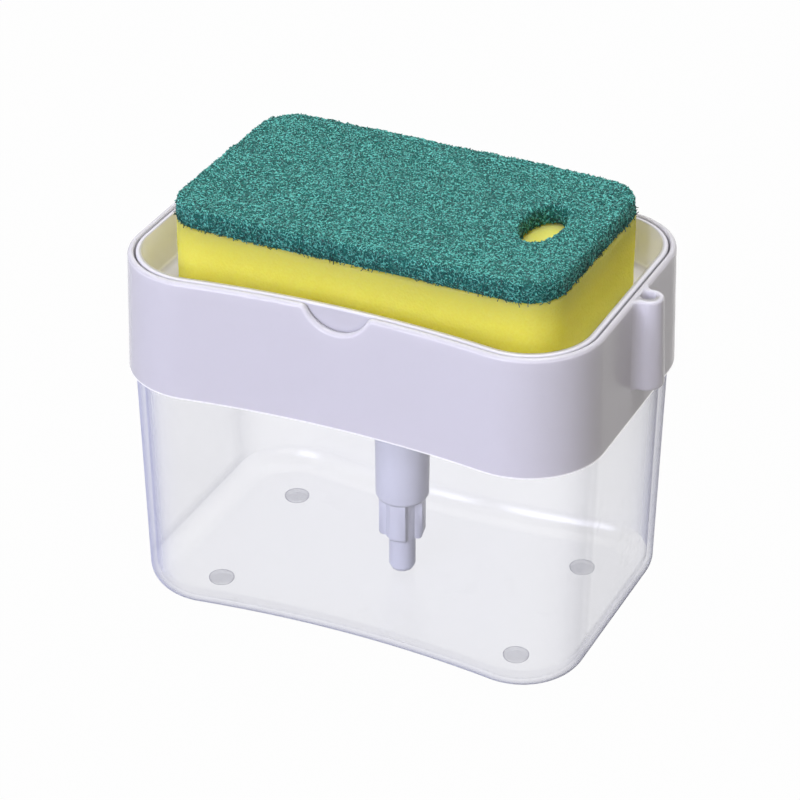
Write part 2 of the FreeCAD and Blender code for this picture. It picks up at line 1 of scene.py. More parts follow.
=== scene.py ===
# %% [markdown]
# # A soap pump caddy with its sponge
# The caddy is a clear box of soap, a white collar that carries a piston pump, and a white tray that
# works the pump when the sponge in it is pressed. Its rigid pieces arrive at their real size as a
# fixed frame, and this lesson gives them their finish, builds the sponge over its plain stand-ins,
# and sets the camera and the lamps.

# %% Load the frame
import json
import math

import bmesh
import bpy
from mathutils import Euler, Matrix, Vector, noise


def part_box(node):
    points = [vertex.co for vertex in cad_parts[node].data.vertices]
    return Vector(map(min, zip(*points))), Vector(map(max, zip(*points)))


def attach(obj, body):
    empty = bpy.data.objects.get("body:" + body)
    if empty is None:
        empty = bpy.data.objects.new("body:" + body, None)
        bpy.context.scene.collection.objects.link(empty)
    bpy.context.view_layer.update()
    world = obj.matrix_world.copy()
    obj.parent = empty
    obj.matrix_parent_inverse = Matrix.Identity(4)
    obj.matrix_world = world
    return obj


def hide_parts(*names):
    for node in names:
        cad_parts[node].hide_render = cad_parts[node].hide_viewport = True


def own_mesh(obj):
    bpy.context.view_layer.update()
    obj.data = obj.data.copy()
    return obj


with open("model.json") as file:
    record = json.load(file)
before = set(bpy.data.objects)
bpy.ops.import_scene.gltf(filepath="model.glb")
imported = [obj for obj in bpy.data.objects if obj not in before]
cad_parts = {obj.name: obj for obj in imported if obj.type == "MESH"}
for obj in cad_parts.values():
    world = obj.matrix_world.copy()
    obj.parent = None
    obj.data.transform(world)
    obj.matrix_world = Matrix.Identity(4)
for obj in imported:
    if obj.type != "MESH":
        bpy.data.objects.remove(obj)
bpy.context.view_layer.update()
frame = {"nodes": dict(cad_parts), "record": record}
nodes = frame["nodes"]
MM = 0.001
print("nodes in the frame:", len(nodes))

# %% [markdown]
# ## Where things are
# Every size that the sponge needs is read from the frame, so the looks follow the real pieces. A box
# gives the lowest and highest corner of a piece, in metres.

# %% Read the sponge's place
foam_low, foam_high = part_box("foam_block")
pad_low, pad_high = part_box("scouring_pad")
print("foam height in mm:", round((foam_high.z - foam_low.z) / MM, 1))
print("pad thickness in mm:", round((pad_high.z - pad_low.z) / MM, 1))

# %% [markdown]
# ## Two helpers
# Blender keeps what a thing is, its data, apart from the object that holds the data in the scene. The
# first helper makes that object for every mesh and lamp below, and for the camera. A modifier only
# shows what a mesh could become, and the second helper makes that the mesh itself.


# %% Put things in the scene
def add(name, data):
    """Object of this name that holds the data in the scene."""
    made = bpy.data.objects.new(name, data)
    bpy.context.scene.collection.objects.link(made)
    return made


def settle(piece):
    """Give a piece the mesh that its modifiers make, and remove them."""
    depsgraph = bpy.context.evaluated_depsgraph_get()
    mesh = bpy.data.meshes.new_from_object(piece.evaluated_get(depsgraph))
    piece.modifiers.clear()
    piece.data = mesh


# %% [markdown]
# ## Camera
# The camera stands to the right of the front and looks down at about thirty degrees. It is far away
# with a long lens, which keeps the box's upright edges nearly parallel. Its height is counted from
# the container's underside, so the height of the feet is added.

# %% Place the camera
AZIMUTH = math.radians(24.953)
ELEVATION = math.radians(30.512)
FOOT_HEIGHT = 1.0 * MM
CAMERA_PLACE = (0.331354, -0.713745, 0.521657)
FOCAL_PIXELS = 3235.44
FRAME_PIXELS = 800
SENSOR = 36.0
NEAREST = 0.05
FARTHEST = 20.0

lens = bpy.data.cameras.new("camera")
lens.sensor_width = SENSOR
lens.lens = SENSOR * FOCAL_PIXELS / FRAME_PIXELS
lens.clip_start = NEAREST
lens.clip_end = FARTHEST
camera = add("camera", lens)
x, y, z = CAMERA_PLACE
camera.location = (x, y, z + FOOT_HEIGHT)
camera.rotation_euler = Euler((math.pi / 2 - ELEVATION, 0, AZIMUTH))
bpy.context.scene.camera = camera
print("lens in mm:", round(lens.lens, 1))

# %% [markdown]
# ## Shader maths as Python
# A finish is mostly sums on masks, and sums are easier to read as expressions than as wired nodes.
# The class below wraps a node's output, so that `1 - mask * 0.3` adds the Math nodes by itself. The
# paint book holds the tree of one material or of the world, and makes any other node from its type,
# its settings and the values or links of its sockets.


# %% Wrap a socket
class Reading:
    """A number that leaves a node, which Python's operators can work on."""

    def __init__(self, book, socket):
        self.book = book
        self.socket = socket

    def maths(self, operation, first, second=None):
        values = {0: first} if second is None else {0: first, 1: second}
        return self.book.node("ShaderNodeMath", {"operation": operation}, values)

    def __add__(self, other):
        return self.maths("ADD", self, other)

    def __radd__(self, other):
        return self.maths("ADD", other, self)

    def __sub__(self, other):
        return self.maths("SUBTRACT", self, other)

    def __rsub__(self, other):
        return self.maths("SUBTRACT", other, self)

    def __mul__(self, other):
        return self.maths("MULTIPLY", self, other)

    def __rmul__(self, other):
        return self.maths("MULTIPLY", other, self)

    def __truediv__(self, other):
        return self.maths("DIVIDE", self, other)

    def __pow__(self, other):
        return self.maths("POWER", self, other)

    def size(self):
        return self.maths("ABSOLUTE", self)

    def clamped(self):
        held = self.maths("MAXIMUM", self, 0.0)
        return held.maths("MINIMUM", held, 1.0)


# %% The paint book
class PaintBook:
    """The node tree of one material, or of the world."""

    def __init__(self, owner):
        self.owner = owner
        owner.use_nodes = True
        self.tree = owner.node_tree
        self.tree.nodes.clear()

    def node(self, kind, settings, values, output=0):
        """Add a node, set its settings and then its sockets, and return one of its outputs."""
        made = self.tree.nodes.new(kind)
        for key, value in settings.items():
            setattr(made, key, value)
        for key, value in values.items():
            if isinstance(value, Reading):
                self.tree.links.new(value.socket, made.inputs[key])
            else:
                made.inputs[key].default_value = value
        return Reading(self, made.outputs[output])

    def noise(self, size, detail=2.0, rough=0.5, place=None):
        """Cloudy noise whose features are about size metres across."""
        return self.node("ShaderNodeTexNoise", {}, {
            "Vector": place or self.place, "Scale": 1 / size, "Detail": detail, "Roughness": rough})

    def cells(self, size):
        """Distance to the nearest of points scattered about size metres apart."""
        return self.node("ShaderNodeTexVoronoi", {}, {"Vector": self.place, "Scale": 1 / size})

    def mix(self, mask, low, high):
        """Colour that goes from low to high with mask."""
        settings = {"data_type": "RGBA", "clamp_factor": True}
        return self.node("ShaderNodeMix", settings, {0: mask, 6: low, 7: high}, 2)

    def bump(self, height, distance, strength=1.0):
        """Normal that follows a height of nought to one, where one is distance metres."""
        return self.node("ShaderNodeBump", {}, {
            "Height": height, "Distance": distance, "Strength": strength})

    def surface(self, values):
        """A Principled surface with these sockets."""
        return self.node("ShaderNodeBsdfPrincipled", {}, values)

    def axes(self):
        """The three coordinates of the place on the object."""
        return [self.node("ShaderNodeSeparateXYZ", {}, {0: self.place}, axis) for axis in "XYZ"]

    def veil(self, low, high, power, where=1.0):
        """Number that rises from low, seen square on, to high at a grazing look, where that is one."""
        edge = self.node("ShaderNodeLayerWeight", {}, {"Blend": 0.5}, "Facing")
        return (low + edge**power * high * where).clamped()

    def blend(self, mask, first, second):
        """First shader where mask is nought, second where it is one."""
        return self.node("ShaderNodeMixShader", {}, {0: mask, 1: first, 2: second})

    def finish(self, shader, depth=None, end="ShaderNodeOutputMaterial"):
        """Wire the shader, and what fills the solid, to the output and return the owner."""
        out = self.tree.nodes.new(end)
        self.tree.links.new(shader.socket, out.inputs["Surface"])
        if depth is not None:
            self.tree.links.new(depth.socket, out.inputs["Volume"])
        return self.owner


def new_paint(name):
    """Paint book of a new material, with the place on the object as its pattern coordinate."""
    book = PaintBook(bpy.data.materials.new(name))
    book.place = book.node("ShaderNodeTexCoord", {}, {}, "Object")
    return book


def tint(red, green, blue):
    """A linear colour from screen values of 0 to 255, by the sRGB curve."""

    def linear(value):
        share = value / 255
        return share / 12.92 if share <= 0.04045 else ((share + 0.055) / 1.055) ** 2.4

    return (linear(red), linear(green), linear(blue), 1.0)


def darker(colour, factor):
    """A colour made darker by a factor below one."""
    return tuple(channel * factor for channel in colour[:3]) + (1,)


# %% [markdown]
# ## Floor and light
# The caddy stands on a white floor in a soft tent. A large lamp lights its front and a weaker one its
# top, the tent fills the shadows, and only the right end is left in shade, with a small lamp to show
# its shape. The floor looks white to the camera, and to reflections and clear plastic, because part
# of it glows for those rays alone. That adds no light to the object.

# %% Build the stage
FLOOR_HALF = 3.0
FLOOR_GLOW = 0.985
FLOOR_COLOUR = (0.17, 0.159, 0.148, 1)
WORLD_LEVEL = 0.27
WORLD_COLOUR = (0.93, 0.92, 1.0, 1)
RIGHT_SHADE = 0.9
RIGHT_COLOUR = (1.0, 0.93, 0.86, 1)
WHITE = (1, 1, 1, 1)
AIM_HEIGHT = 0.08

# The place and size of each lamp in metres, its power in watts and its colour.
LAMPS = {
    "key_lamp": ((-0.2, -1.36, 0.72), 0.9, 22.6, (0.76, 0.77, 0.98)),
    "top_lamp": ((0.1, 0.1, 1.45), 0.9, 19.5, (1.0, 1.0, 1.0)),
    "fill_lamp": ((1.0, -1.1, 0.35), 0.6, 2.4, (1.0, 0.93, 0.88)),
}


def seen_directly(book):
    """One for camera, glossy and transmission rays, and nought for the rest."""
    rays = [book.node("ShaderNodeLightPath", {}, {}, name) for name in
            ("Is Camera Ray", "Is Glossy Ray", "Is Transmission Ray")]
    return (rays[0] + rays[1] + rays[2]).clamped()


def make_floor():
    """Wide floor on which the caddy stands."""
    mesh = bpy.data.meshes.new("floor")
    signs = ((-1, -1), (1, -1), (1, 1), (-1, 1))
    mesh.from_pydata([(x * FLOOR_HALF, y * FLOOR_HALF, 0) for x, y in signs], [], [(0, 1, 2, 3)])
    made = add("floor", mesh)
    book = new_paint("floor_white")
    paper = book.surface({"Base Color": FLOOR_COLOUR, "Roughness": 0.9})
    glow = book.node("ShaderNodeEmission", {}, {"Color": WHITE, "Strength": 1.0})
    mesh.materials.append(book.finish(book.blend(seen_directly(book) * FLOOR_GLOW, paper, glow)))


def make_world():
    """Pale surroundings: white where seen, and a soft tent, darker on the right, where they light."""
    book = PaintBook(bpy.data.worlds.new("surroundings"))
    aim = book.node("ShaderNodeTexCoord", {}, {}, "Generated")
    right = book.node("ShaderNodeSeparateXYZ", {}, {0: aim}, "X").clamped()
    lit = book.node("ShaderNodeBackground", {}, {
        "Color": book.mix(right, WORLD_COLOUR, RIGHT_COLOUR),
        "Strength": (1 - right * RIGHT_SHADE) * WORLD_LEVEL})
    seen = book.node("ShaderNodeBackground", {}, {"Color": WHITE, "Strength": 1.0})
    shader = book.blend(seen_directly(book), lit, seen)
    bpy.context.scene.world = book.finish(shader, end="ShaderNodeOutputWorld")


def make_lamp(name, place, size, power, colour):
    """Square soft lamp that faces the middle of the caddy."""
    lamp = bpy.data.lights.new(name, "AREA")
    lamp.shape = "SQUARE"
    lamp.size = size
    lamp.energy = power
    lamp.color = colour
    holder = add(name, lamp)
    holder.location = place
    aim = Vector((0, 0, AIM_HEIGHT)) - Vector(place)
    holder.rotation_euler = aim.to_track_quat("-Z", "Y").to_euler()


make_floor()
make_world()
for lamp_name, light in LAMPS.items():
    make_lamp(lamp_name, *light)
bpy.context.scene.view_settings.view_transform = "Standard"
print("lamps:", len(LAMPS))

# %% [markdown]
# ## White moulded plastic
# The collar, the tray and the pump are mouldings. A real moulding is never a perfect mirror: its gloss
# drifts a little over the wall and the surface has slow, very shallow waves. Two noises, one for
# roughness and one for a faint bump, give that. Light sinks a little way into the collar's thicker
# wall and comes out again, and Subsurface gives its soft shading.
#
# Under the soft tent a rim that looks up would come out much lighter than the wall below it. On the
# real caddy it hardly does, so a mask made from the way a face looks paints shade, as a darker white,
# on the collar's rims and on the tray's rim and outside. The tray's inner walls, which the sponge
# lights from inside, are painted a paler white for that light. The collar's lower edge catches light
# from the clear box under it, and a faint painted glow on about its last half millimetre stands for
# that highlight.

# %% Find the rims
RIM_START = 0.3
RIM_GAIN = 3


def rim(book):
    """One on the faces that look up, and nought on the walls."""
    normal = book.node("ShaderNodeNewGeometry", {}, {}, "Normal")
    upward = book.node("ShaderNodeSeparateXYZ", {}, {0: normal}, "Z")
    return ((upward - RIM_START) * RIM_GAIN).clamped()


def rim_and_outside(book):
    """One on the faces that look up or outwards, and nought on the inner walls."""
    normal = book.node("ShaderNodeNewGeometry", {}, {}, "Normal")
    spot = book.node("ShaderNodeVectorMath", {"operation": "MULTIPLY"}, {0: book.place, 1: (1, 1, 0)})
    outward = book.node("ShaderNodeVectorMath", {"operation": "DOT_PRODUCT"}, {0: spot, 1: normal},
                        "Value")
    return ((outward / MM).clamped() + rim(book)).clamped()


# %% Mix the plastics
WAVE_DEPTH = 0.012 * MM
GRAIN_SIZE = 0.35 * MM
CLOUD_SHADE = 0.985
CLOUD_GLOSS = 0.06
GRAIN_GLOSS = 0.03
LIP_HEIGHT = 0.6 * MM
# Painted highlight: the collar's lowest edge glows faintly, for light that it catches from the clear
# box.
LIP_PAINTED_GLOW = (0.6, 0.6, 0.6, 1)
NO_GLOW = (0, 0, 0, 1)
SKIRT_BOTTOM = 72.8 * MM
COLLAR_WHITE = (0.665, 0.65, 0.675, 1)
# Painted shade: a darker white for the collar's rims, which would otherwise come out too light.
COLLAR_RIM_PAINTED_SHADE = (0.519, 0.507, 0.527, 1)
# Painted light: a paler, warmer white for the tray's inner walls, for the light the sponge throws on
# them.
TRAY_INNER_PAINTED_LIGHT = (0.96, 0.95, 0.92, 1)
# Painted shade: a darker white for the tray's rim and outside.
TRAY_OUTER_PAINTED_SHADE = (0.60, 0.587, 0.612, 1)
PUMP_WHITE = (0.81, 0.82, 0.87, 1)


def moulded_plastic(name, colour, roughness=0.2, wave=9 * MM, soak=3.0 * MM, through=0.6, lip=None,
                    mask=None, painted_shade=None):
    """Moulding with slow waves, an uneven gloss, painted light and shade by a mask, and a painted glow
    at lip.
    """
    book = new_paint(name)
    cloud = book.noise(wave * 2)
    grain = book.noise(GRAIN_SIZE)
    shade = book.mix(cloud, darker(colour, CLOUD_SHADE), colour)
    if mask:
        # Painted shade: where the mask is one, the colour becomes a second, darker white.
        shade = book.mix(mask(book), shade, painted_shade)
    glow = NO_GLOW
    if lip is not None:
        # Painted highlight: a faint glow on the edge just above lip.
        inner = ((book.axes()[2] - lip) / LIP_HEIGHT).clamped()
        glow = book.mix(inner, LIP_PAINTED_GLOW, NO_GLOW)
    gloss = roughness + (cloud - 0.5) * CLOUD_GLOSS + (grain - 0.5) * GRAIN_GLOSS
    waves = book.bump(book.noise(wave, 1.0), WAVE_DEPTH)
    return book.finish(book.surface({
        "Base Color": shade, "Roughness": gloss, "Normal": waves, "Specular IOR Level": 0.2,
        "Subsurface Weight": through, "Subsurface Scale": soak, "Subsurface Radius": (1, 1, 1),
        "Emission Color": glow, "Emission Strength": 1.0}))


white_plastic = moulded_plastic("glossy_white_plastic", COLLAR_WHITE, lip=SKIRT_BOTTOM,
                                mask=rim, painted_shade=COLLAR_RIM_PAINTED_SHADE)
tray_plastic = moulded_plastic("tray_white_plastic", TRAY_INNER_PAINTED_LIGHT, 0.24, through=0.05,
                               mask=rim_and_outside, painted_shade=TRAY_OUTER_PAINTED_SHADE)
pump_plastic = moulded_plastic("natural_pump_plastic", PUMP_WHITE, 0.32, 5 * MM, through=0.0)
print("mouldings:", white_plastic.name, tray_plastic.name, pump_plastic.name)

# %% [markdown]
# ## Clear plastic
# The container is clear polystyrene that is a little lilac. Its walls are thin beside the box, so
# they bend light too little to see, and a surface that lets light straight through is cleaner than
# one that bends it. The tint is absorption inside the wall: light that runs along a wall has far to
# go, which draws the soft lilac band round the silhouette. Reflections and a milky veil both grow
# towards a grazing look, so Layer Weight drives them.

# %% Find the turns of the box
CORNER_X = 46 * MM
CORNER_Y = 22 * MM
CORNER_FADE = 12 * MM
FOOT_TOP = 10 * MM
FOOT_FADE = 4 * MM


def turning(book):
    """One on the upright corners and the foot of the box, and nought on its flat walls."""
    x, y, z = book.axes()
    along = ((x.size() - CORNER_X) / CORNER_FADE).clamped()
    across = ((y.size() - CORNER_Y) / CORNER_FADE).clamped()
    foot = ((FOOT_TOP - z) / FOOT_FADE).clamped()
    return (along * across + foot).clamped()


# %% Mix the clear plastics
CLEAR_TINT = (0.50, 0.50, 0.62, 1)
GLOSS_SIZE = 14 * MM
MILK_SIZE = 30 * MM
MILK_SHADE = 0.96
# A veil is its strength seen square on, what a grazing look adds, and how late that sets in.
MIRROR_VEIL = (0.03, 0.4, 5)
CONTAINER_VEIL = (0.02, 1.25, 3.4)
INSIDE_VEIL = (0.01, 0.06, 3)
FEET_VEIL = (0.05, 1.1, 2.2)
CONTAINER_HAZE = (0.03, 0.26, 2)
# Milky colours of the veils, and how much of the light each metre of wall takes.
CONTAINER_MILK = (0.60, 0.62, 0.78, 1)
INSIDE_MILK = (0.72, 0.70, 0.84, 1)
FEET_MILK = (0.52, 0.52, 0.66, 1)
WALL_DENSITY = 11.0
FEET_DENSITY = 30.0


def clear_plastic(name, roughness, milk_colour, milk, density, where=None, haze=None):
    """Clear moulding with a tinted depth, reflections and a milky veil."""
    book = new_paint(name)
    drift = roughness + (book.noise(GLOSS_SIZE) - 0.5) * roughness * 0.5
    open_way = book.node("ShaderNodeBsdfTransparent", {}, {"Color": WHITE})
    mirror = book.surface({"Base Color": WHITE, "Metallic": 1.0, "Roughness": drift})
    skin = book.blend(book.veil(*MIRROR_VEIL), open_way, mirror)
    cloud = book.mix(book.noise(MILK_SIZE, 1.0), milk_colour, darker(milk_colour, MILK_SHADE))
    milky = book.surface({"Base Color": cloud, "Roughness": 0.5, "Specular IOR Level": 0.2})
    depth = book.node("ShaderNodeVolumeAbsorption", {}, {"Color": CLEAR_TINT, "Density": density})
    mask = book.veil(*milk, where(book) if where else 1.0)
    if haze:
        outside = 1 - book.node("ShaderNodeNewGeometry", {}, {}, "Backfacing")
        mask = (mask + book.veil(*haze) * outside).clamped()
    return book.finish(book.blend(mask, skin, milky), depth)


container_plastic = clear_plastic("clear_container_plastic", 0.25, CONTAINER_MILK, CONTAINER_VEIL,
                                  WALL_DENSITY, turning, CONTAINER_HAZE)
inside_plastic = clear_plastic("clear_container_inside", 0.25, INSIDE_MILK, INSIDE_VEIL,
                               WALL_DENSITY)
feet_rubber = clear_plastic("clear_feet_rubber", 0.15, FEET_MILK, FEET_VEIL, FEET_DENSITY)
print("clear finishes:", container_plastic.name, inside_plastic.name, feet_rubber.name)

# %% [markdown]
# ## Seals and metal
# These pieces sit inside the pump. They show when the frame is lifted off, so they get a finish too:
# dull black rubber for the seals and drawn steel for the spring and the valve balls.

# %% Mix rubber and steel
RUBBER_GRAIN = 0.3 * MM
RUBBER_DEPTH = 0.02 * MM
LINE_SIZE = 0.2 * MM
LINE_STRETCH = (1, 1, 0.15)


def seal_rubber():
    """Dull black rubber with a fine grain."""
    book = new_paint("black_seal_rubber")
    grain = book.noise(RUBBER_GRAIN, 3.0)
    shade = book.mix(grain, (0.012, 0.012, 0.013, 1), (0.035, 0.035, 0.037, 1))
    return book.finish(book.surface({"Base Color": shade, "Roughness": 0.6 + grain * 0.2,
                                     "Normal": book.bump(grain, RUBBER_DEPTH)}))


def drawn_steel(name, roughness):
    """Steel with faint drawing lines along its height."""
    book = new_paint(name)
    stretched = book.node("ShaderNodeMapping", {}, {"Vector": book.place, "Scale": LINE_STRETCH})
    lines = book.noise(LINE_SIZE, 3.0, place=stretched)
    shade = book.mix(lines, (0.50, 0.51, 0.53, 1), (0.72, 0.73, 0.75, 1))
    return book.finish(book.surface({"Base Color": shade, "Metallic": 1.0,
                                     "Roughness": roughness + (lines - 0.5) * 0.1}))


rubber = seal_rubber()
spring_steel = drawn_steel("drawn_spring_steel", 0.3)
ball_steel = drawn_steel("polished_ball_steel", 0.12)
print("rubber and steel:", rubber.name, spring_steel.name, ball_steel.name)

# %% [markdown]
# ## Smooth skins for the rigid pieces
# A piece of the frame is a set of loose triangles, which would catch the light as facets. A copy
# whose doubles are merged can be shaded smoothly: edges sharper than a set angle stay crisp, and a
# Weighted Normal modifier keeps the flat walls flat beside their rounded rims.

# %% Dress the rigid pieces
MERGE_DISTANCE = 0.002 * MM
CREASE = math.radians(34)
FINISHES = {
    "feet": (feet_rubber, "clear_feet"),
    "frame": (white_plastic, "white_shell"),
    "locking_nut": (tray_plastic, "white_shell"),
    "tray": (tray_plastic, "white_tray"),
    "outlet_cap": (tray_plastic, "white_tray"),
    "pump_housing": (pump_plastic, "pump_plastic"),
    "guide_bush": (pump_plastic, "pump_plastic"),
    "ball_cage": (pump_plastic, "pump_plastic"),
    "suction_tube": (pump_plastic, "pump_plastic"),
    "stem": (pump_plastic, "pump_plastic"),
    "piston": (pump_plastic, "pump_plastic"),
    "housing_gasket": (rubber, "seal_rubber"),
    "piston_seal": (rubber, "seal_rubber"),
    "hub_ring": (rubber, "seal_rubber"),
    "return_spring": (spring_steel, "spring_steel"),
    "inlet_ball": (ball_steel, "ball_steel"),
    "outlet_ball": (ball_steel, "ball_steel"),
}
body_of_node = {name: body for body, members in frame["record"]["behaviour"]["bodies"].items()
                for name in members}


def merged_copy(node, name):
    """Copy of a rigid piece with its loose triangles joined."""
    mesh = nodes[node].data.copy()
    mesh.name = name
    work = bmesh.new()
    work.from_mesh(mesh)
    bmesh.ops.remove_doubles(work, verts=work.verts, dist=MERGE_DISTANCE)
    bmesh.ops.dissolve_degenerate(work, edges=work.edges, dist=MERGE_DISTANCE)
    work.to_mesh(mesh)
    work.free()
    return add(name, mesh)


def dress(node, material, slot):
    """Smooth skin for a rigid piece, in its own finish."""
    piece = merged_copy(node, node + "_skin")
    piece.data.shade_smooth()
    piece.data.set_sharp_from_angle(angle=CREASE)
    even = piece.modifiers.new("even_normals", "WEIGHTED_NORMAL")
    even.keep_sharp = True
    piece.data.materials.clear()
    piece.data.materials.append(material)
    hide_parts(node)
    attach(piece, body_of_node[node])
    return piece


skins = {node: dress(node, *finish) for node, finish in FINISHES.items()}
print("dressed pieces:", len(skins))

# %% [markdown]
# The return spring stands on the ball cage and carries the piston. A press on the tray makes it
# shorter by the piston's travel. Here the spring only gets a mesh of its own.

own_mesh(skins["return_spring"])

# %% [markdown]
# ## The container's shell
# Clear plastic shows its near and far walls at once, and every facet of both. So the container isn't
# a copy of the coarse piece: its skin is built again from fine rings of the plan outline.
# The outline has straight ends, round corners and long sides that bow inwards, and every ring is
# that outline moved inwards. The same number of points on each ring makes clean rows of quads.

# %% Draw the plan outline
FRAME_LENGTH = 140.9 * MM
FRAME_WIDTH = 93.6 * MM
CORNER_RADIUS = 22.45 * MM
WAIST_DEPTH = 3.64 * MM
END_STEPS = 3
CORNER_STEPS = 56
BOW_STEPS = 64
ROUND_STEPS = 20


def plan_ring(inset, z):
    """Points of the plan outline moved inwards by inset, in order, at height z."""
    half_length = FRAME_LENGTH / 2 - inset
    half_width = FRAME_WIDTH / 2 - inset
    radius = CORNER_RADIUS - inset
    centre = Vector((half_length - radius, half_width - radius))
    bow = (centre.x**2 + WAIST_DEPTH**2) / (2 * WAIST_DEPTH) - radius
    bow_centre = half_width - WAIST_DEPTH + bow
    last = math.atan2(bow_centre - centre.y, -centre.x)
    quarter = [Vector((half_length, centre.y * k / END_STEPS)) for k in range(END_STEPS)]
    for k in range(CORNER_STEPS):
        angle = last * k / CORNER_STEPS
        quarter.append(centre + radius * Vector((math.cos(angle), math.sin(angle))))
    for k in range(BOW_STEPS + 1):
        angle = (last - math.pi / 2) * (1 - k / BOW_STEPS)
        quarter.append(Vector((bow * math.sin(angle), bow_centre - bow * math.cos(angle))))
    left = [Vector((-p.x, p.y)) for p in reversed(quarter[1:-1])]
    left.append(Vector((-quarter[0].x, 0)))
    upper = quarter + left
    lower = [Vector((p.x, -p.y)) for p in reversed(upper[1:-1])]
    return [Vector((p.x, p.y, z)) for p in upper + lower]


def rounding(inset, z, radius):
    """Insets and heights of a quarter round from flat at z to upright at inset."""
    angles = [math.pi / 2 * k / ROUND_STEPS for k in range(ROUND_STEPS + 1)]
    return [(inset + radius * (1 - math.sin(a)), z + radius * (1 - math.cos(a))) for a in angles]


def ring_skin(name, outside, inside):
    """Closed skin through the rings of a profile, flat at both ends, with a finish for each side."""
    work = bmesh.new()
    rings = [[work.verts.new(p) for p in plan_ring(inset, z)] for inset, z in outside + inside]
    for row, (low, high) in enumerate(zip(rings, rings[1:])):
        for k in range(len(low)):
            face = work.faces.new((low[k - 1], low[k], high[k], high[k - 1]))
            face.material_index = int(row >= len(outside))
    work.faces.new(list(reversed(rings[0])))
    work.faces.new(rings[-1]).material_index = 1
    bmesh.ops.recalc_face_normals(work, faces=work.faces)
    mesh = bpy.data.meshes.new(name)
    work.to_mesh(mesh)
    work.free()
    return add(name, mesh)


# %% Build the container
FLOOR_TOP = 2.5 * MM
SHOULDER = 72.5 * MM
NECK_TOP = 77.7 * MM
BASE_INSET = 3.45 * MM
SHOULDER_INSET = 1.75 * MM
NECK_INSET = 2.2 * MM
NECK_WALL = 1.5 * MM
BASE_WALL = 1.8 * MM
BASE_ROUND = 6.8 * MM
INNER_ROUND = 5.3 * MM
SHOULDER_EDGE = 0.25 * MM
NECK_CHAMFER = 0.4 * MM


def container_profile():
    """Outside from the underside up and over the neck, and inside down to the floor."""
    outside = rounding(BASE_INSET, FOOT_HEIGHT, BASE_ROUND)
    outside += [(SHOULDER_INSET, SHOULDER - SHOULDER_EDGE), (SHOULDER_INSET + SHOULDER_EDGE, SHOULDER)]
    outside += [(NECK_INSET, SHOULDER), (NECK_INSET, NECK_TOP - NECK_CHAMFER)]
    outside += [(NECK_INSET + NECK_CHAMFER, NECK_TOP), (NECK_INSET + NECK_WALL, NECK_TOP)]
    inside = rounding(BASE_INSET + BASE_WALL, FLOOR_TOP, INNER_ROUND)
    return outside, list(reversed(inside))


shell = ring_skin("container_shell", *container_profile())
shell.data.shade_smooth()
shell.data.set_sharp_from_angle(angle=CREASE)
shell.data.materials.append(container_plastic)
shell.data.materials.append(inside_plastic)
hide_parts("container")
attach(shell, "reservoir")
print("container faces:", len(shell.data.polygons))

# %% [markdown]
# ## Foam
# The lower part of the sponge is cut polyurethane foam. A saw leaves it nearly flat, but never quite:
# the faces wander by a few tenths of a millimetre and the edges are soft. The stand-in block is
# remeshed into an even skin, and every point is pushed along its normal by slow and quick noise. The
# pores are too small for geometry, so they are bump, with a darker colour in them as painted shade.

# %% Shape the foam
FOAM_VOXEL = 1.1 * MM
FOAM_FOOT = 0.8 * MM
# The size of each noise across the skin, and how far it pushes the skin.
FOAM_WAVES = [(30 * MM, 0.35 * MM), (6 * MM, 0.12 * MM), (1.6 * MM, 0.10 * MM)]


def even_skin(node, name, voxel):
    """Closed copy of a stand-in whose faces are all about one voxel across."""
    piece = merged_copy(node, name)
    piece.data.materials.clear()
    remesh = piece.modifiers.new("even_faces", "REMESH")
    remesh.mode = "VOXEL"
    remesh.voxel_size = voxel
    settle(piece)
    return piece


def roughen(piece, waves, keep_below, inset=0.0):
    """Draw a piece in by inset and push its points by noises of (size, amount), not at its foot."""
    mesh = piece.data
    normals = [vertex.normal.copy() for vertex in mesh.vertices]
    for vertex, normal in zip(mesh.vertices, normals):
        push = -inset
        if vertex.co.z < keep_below:
            normal.z = 0.0
        else:
            push += sum(noise.noise(vertex.co / size) * amount for size, amount in waves)
        vertex.co += normal * push


foam = even_skin("foam_block", "foam", FOAM_VOXEL)
roughen(foam, FOAM_WAVES, foam_low.z + FOAM_FOOT)
foam.data.shade_smooth()
print("foam faces:", len(foam.data.polygons))

# %% Mix the foam
PORE_SIZE = 0.75 * MM
PORE_DEPTH = 0.25 * MM
CELL_GRAIN = 0.4 * MM
FOAM_PATCH = 9 * MM
PAD_SHADE_BAND = 8 * MM
FOAM_SOAK = 20.0 * MM


def open_foam():
    """Yellow open-celled foam, with painted shade as a darker, duller band under the pad."""
    book = new_paint("yellow_open_foam")
    pores = book.cells(PORE_SIZE)
    fine = book.noise(CELL_GRAIN, 3.0, 0.6)
    patch = book.noise(FOAM_PATCH)
    # Painted shade in the pores, with a fine random grain, makes the yellow darker and deeper.
    pore_shade_and_grain = (1 - pores * 1.1).clamped() * 0.5 + fine * 0.5
    light = book.mix(patch, tint(227, 219, 88), tint(232, 225, 100))
    # Painted shade: the pad's shadow, as a darker yellow in the band under it.
    upper = ((book.axes()[2] - foam_high.z + PAD_SHADE_BAND) / PAD_SHADE_BAND).clamped()
    light = book.mix(upper, light, tint(209, 204, 98))
    shade = book.mix(pore_shade_and_grain * 0.45, light, tint(220, 198, 52))
    height = pores * 0.6 + fine * 0.4
    return book.finish(book.surface({
        "Base Color": shade, "Roughness": 0.92, "Specular IOR Level": 0.2,
        "Subsurface Weight": 0.9, "Subsurface Radius": (1.0, 0.9, 0.3),
        "Subsurface Scale": FOAM_SOAK, "Normal": book.bump(height, PORE_DEPTH, 0.7)}))


foam.data.materials.append(open_foam())
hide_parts("foam_block")
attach(foam, "sponge")
print("foam finish:", foam.data.materials[0].name)

